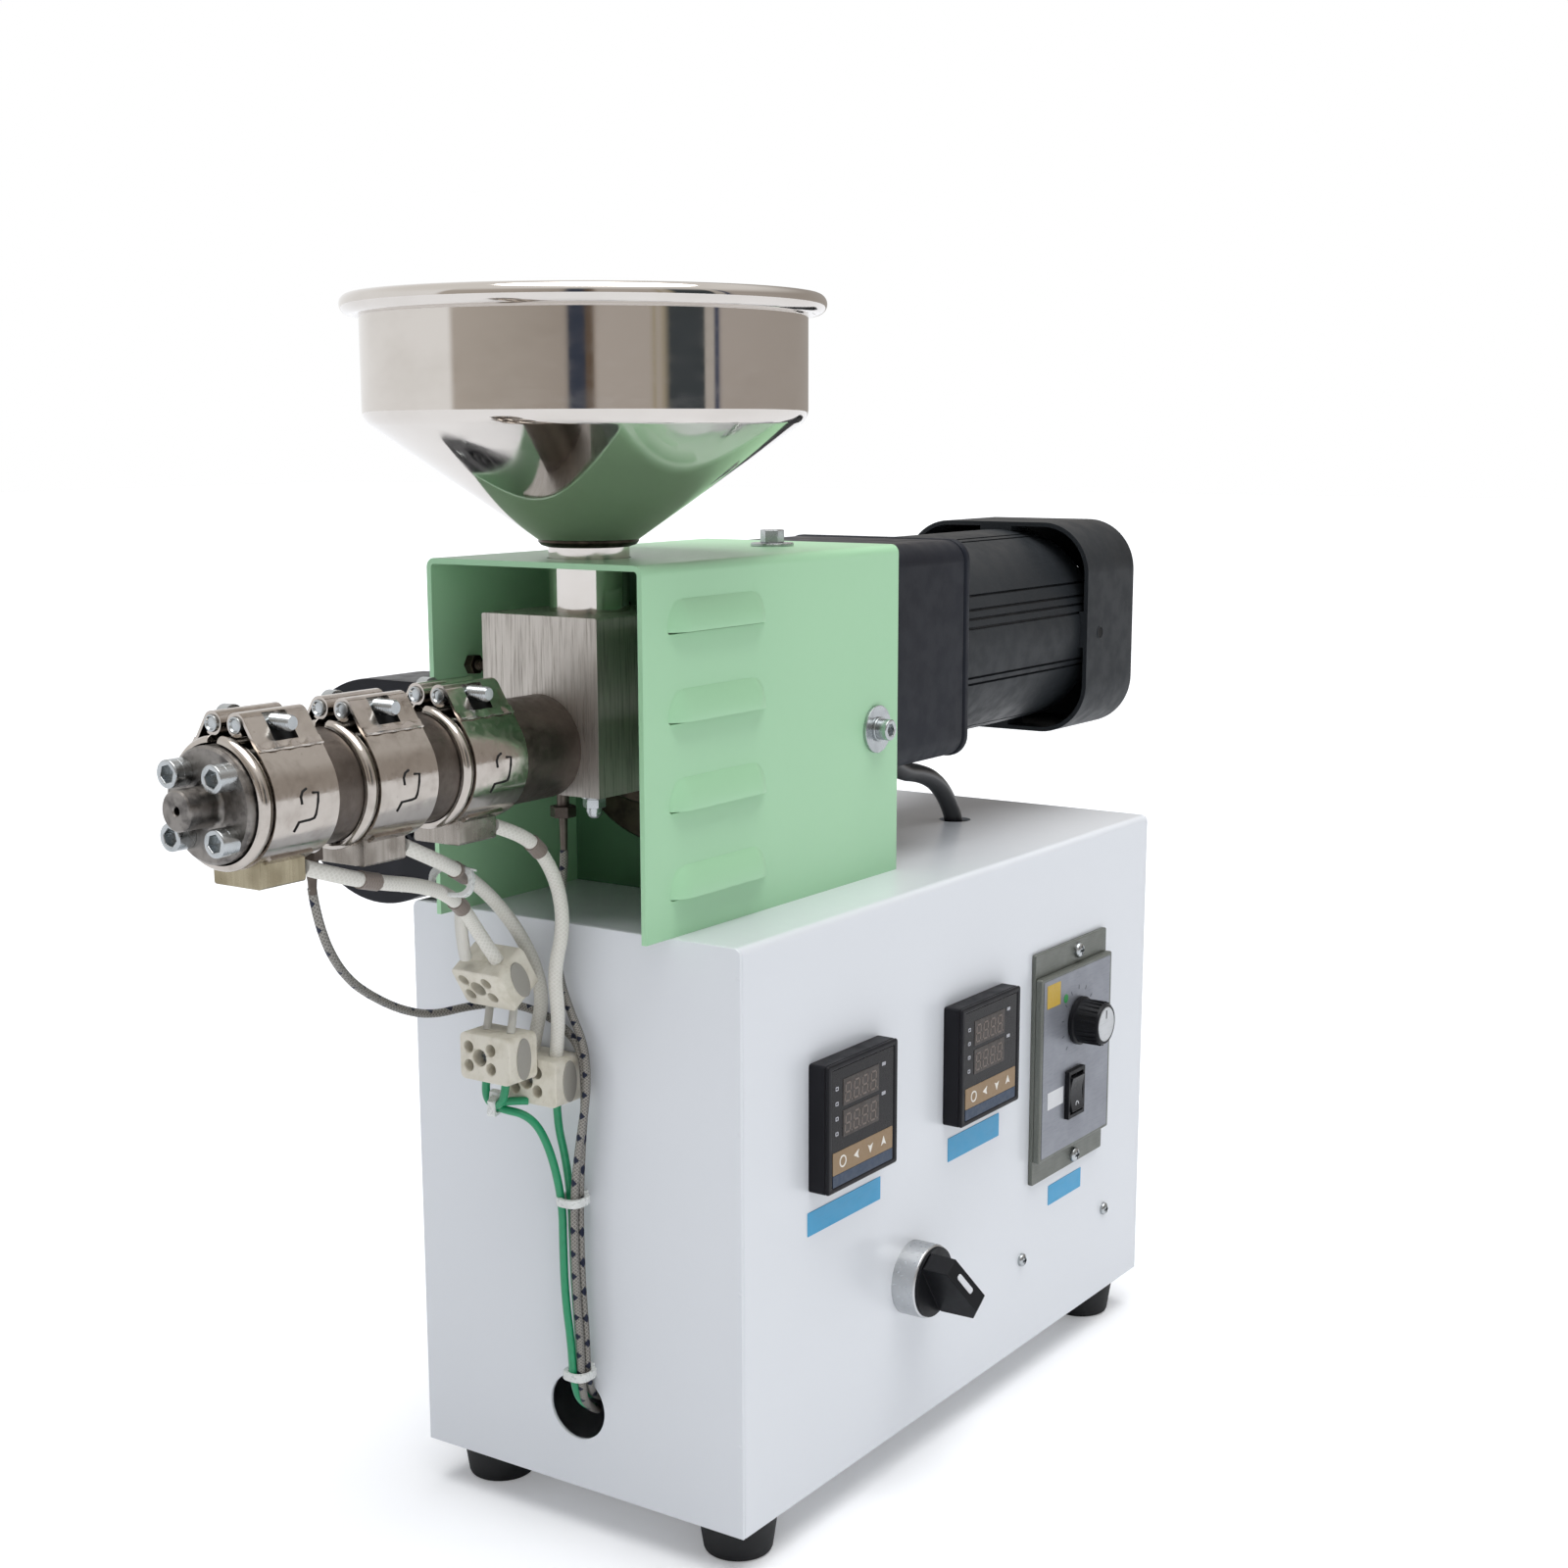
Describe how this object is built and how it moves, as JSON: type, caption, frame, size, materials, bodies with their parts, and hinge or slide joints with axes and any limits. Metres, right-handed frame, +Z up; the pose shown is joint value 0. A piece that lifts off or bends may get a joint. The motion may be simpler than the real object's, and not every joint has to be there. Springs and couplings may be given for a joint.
{
  "type": "single screw extruder",
  "caption": "Tabletop single screw extruder: control cabinet on feet, screw guard, heated barrel with die, pellet hopper, gearmotor and cooling blower.",
  "frame": {"origin": "middle of the footprint on the standing surface", "axes": "+X along the screw from nozzle to motor, control panel faces -Y, +Z up"},
  "size_m": [0.5388, 0.2381, 0.4495],
  "materials": {
    "white_paint": "satin powder coat",
    "green_paint": "satin powder coat",
    "black_rubber": "matte",
    "dark_steel": "turned and heat-darkened",
    "brushed_steel": "ground",
    "stainless": "polished",
    "grey_paint": "semi-gloss",
    "motor_paint": "semi-gloss",
    "black_plastic": "fine texture",
    "grey_panel": "satin",
    "chrome_ring": "polished",
    "ceramic": "unglazed",
    "lead_sleeve": "woven glass sleeve",
    "green_wire": "smooth",
    "braid": "steel braid",
    "black_cable": "smooth"
  },
  "bodies": {
    "machine": {"band_clamp_1": "stainless", "band_clamp_2": "stainless", "band_clamp_3": "stainless", "barrel": "dark_steel", "bearing_housing": "dark_steel", "bearing_wall": "green_paint", "blower_housing": "black_plastic", "cabinet_base": "white_paint", "cabinet_cover": "white_paint", "cabinet_front_end": "white_paint", "cabinet_rear_end": "white_paint", "ceramic_block_1": "ceramic", "ceramic_block_2": "ceramic", "ceramic_block_3": "ceramic", "controller_1": "black_plastic", "controller_2": "black_plastic", "die": "dark_steel", "extrusion_screw": "brushed_steel", "feed_block": "brushed_steel", "feet": "black_rubber", "gearbox": "grey_paint", "guard_cover": "green_paint", "heater_band_1": "stainless", "heater_band_2": "stainless", "heater_band_3": "stainless", "hopper": "stainless", "lead_1": "lead_sleeve", "lead_2": "lead_sleeve", "lead_3": "lead_sleeve", "link_1": "lead_sleeve", "link_2": "lead_sleeve", "motor_body": "motor_paint", "motor_cable": "black_cable", "motor_plate": "green_paint", "motor_shroud": "motor_paint", "rocker_frame": "black_plastic", "selector_bezel": "chrome_ring", "sensor_1": "braid", "sensor_2": "braid", "side_hatch": "white_paint", "speed_plate": "grey_panel", "terminal_box_1": "stainless", "terminal_box_2": "stainless", "terminal_box_3": "stainless", "thermocouple_1": "brushed_steel", "thermocouple_2": "brushed_steel", "wire_1": "green_wire", "wire_2": "green_wire"},
    "speed_knob": {"speed_knob": "black_plastic"},
    "selector_handle": {"selector_handle": "black_plastic"},
    "rocker": {"rocker": "black_plastic"}
  },
  "joints": [
    {"name": "speed_turn", "type": "hinge", "parent": "machine", "child": "speed_knob", "pos_m": [0.1504, -0.09495, 0.154], "axis": [0, -1, 0], "range_deg": [-150, 150]},
    {"name": "selector_turn", "type": "hinge", "parent": "machine", "child": "selector_handle", "pos_m": [0.0194, -0.09995, 0.0788], "axis": [0, -1, 0], "range_deg": [-90, 0]},
    {"name": "rocker_tip", "type": "hinge", "parent": "machine", "child": "rocker", "pos_m": [0.1464, -0.09495, 0.123], "axis": [1, 0, 0], "range_deg": [-7, 7]}
  ]
}
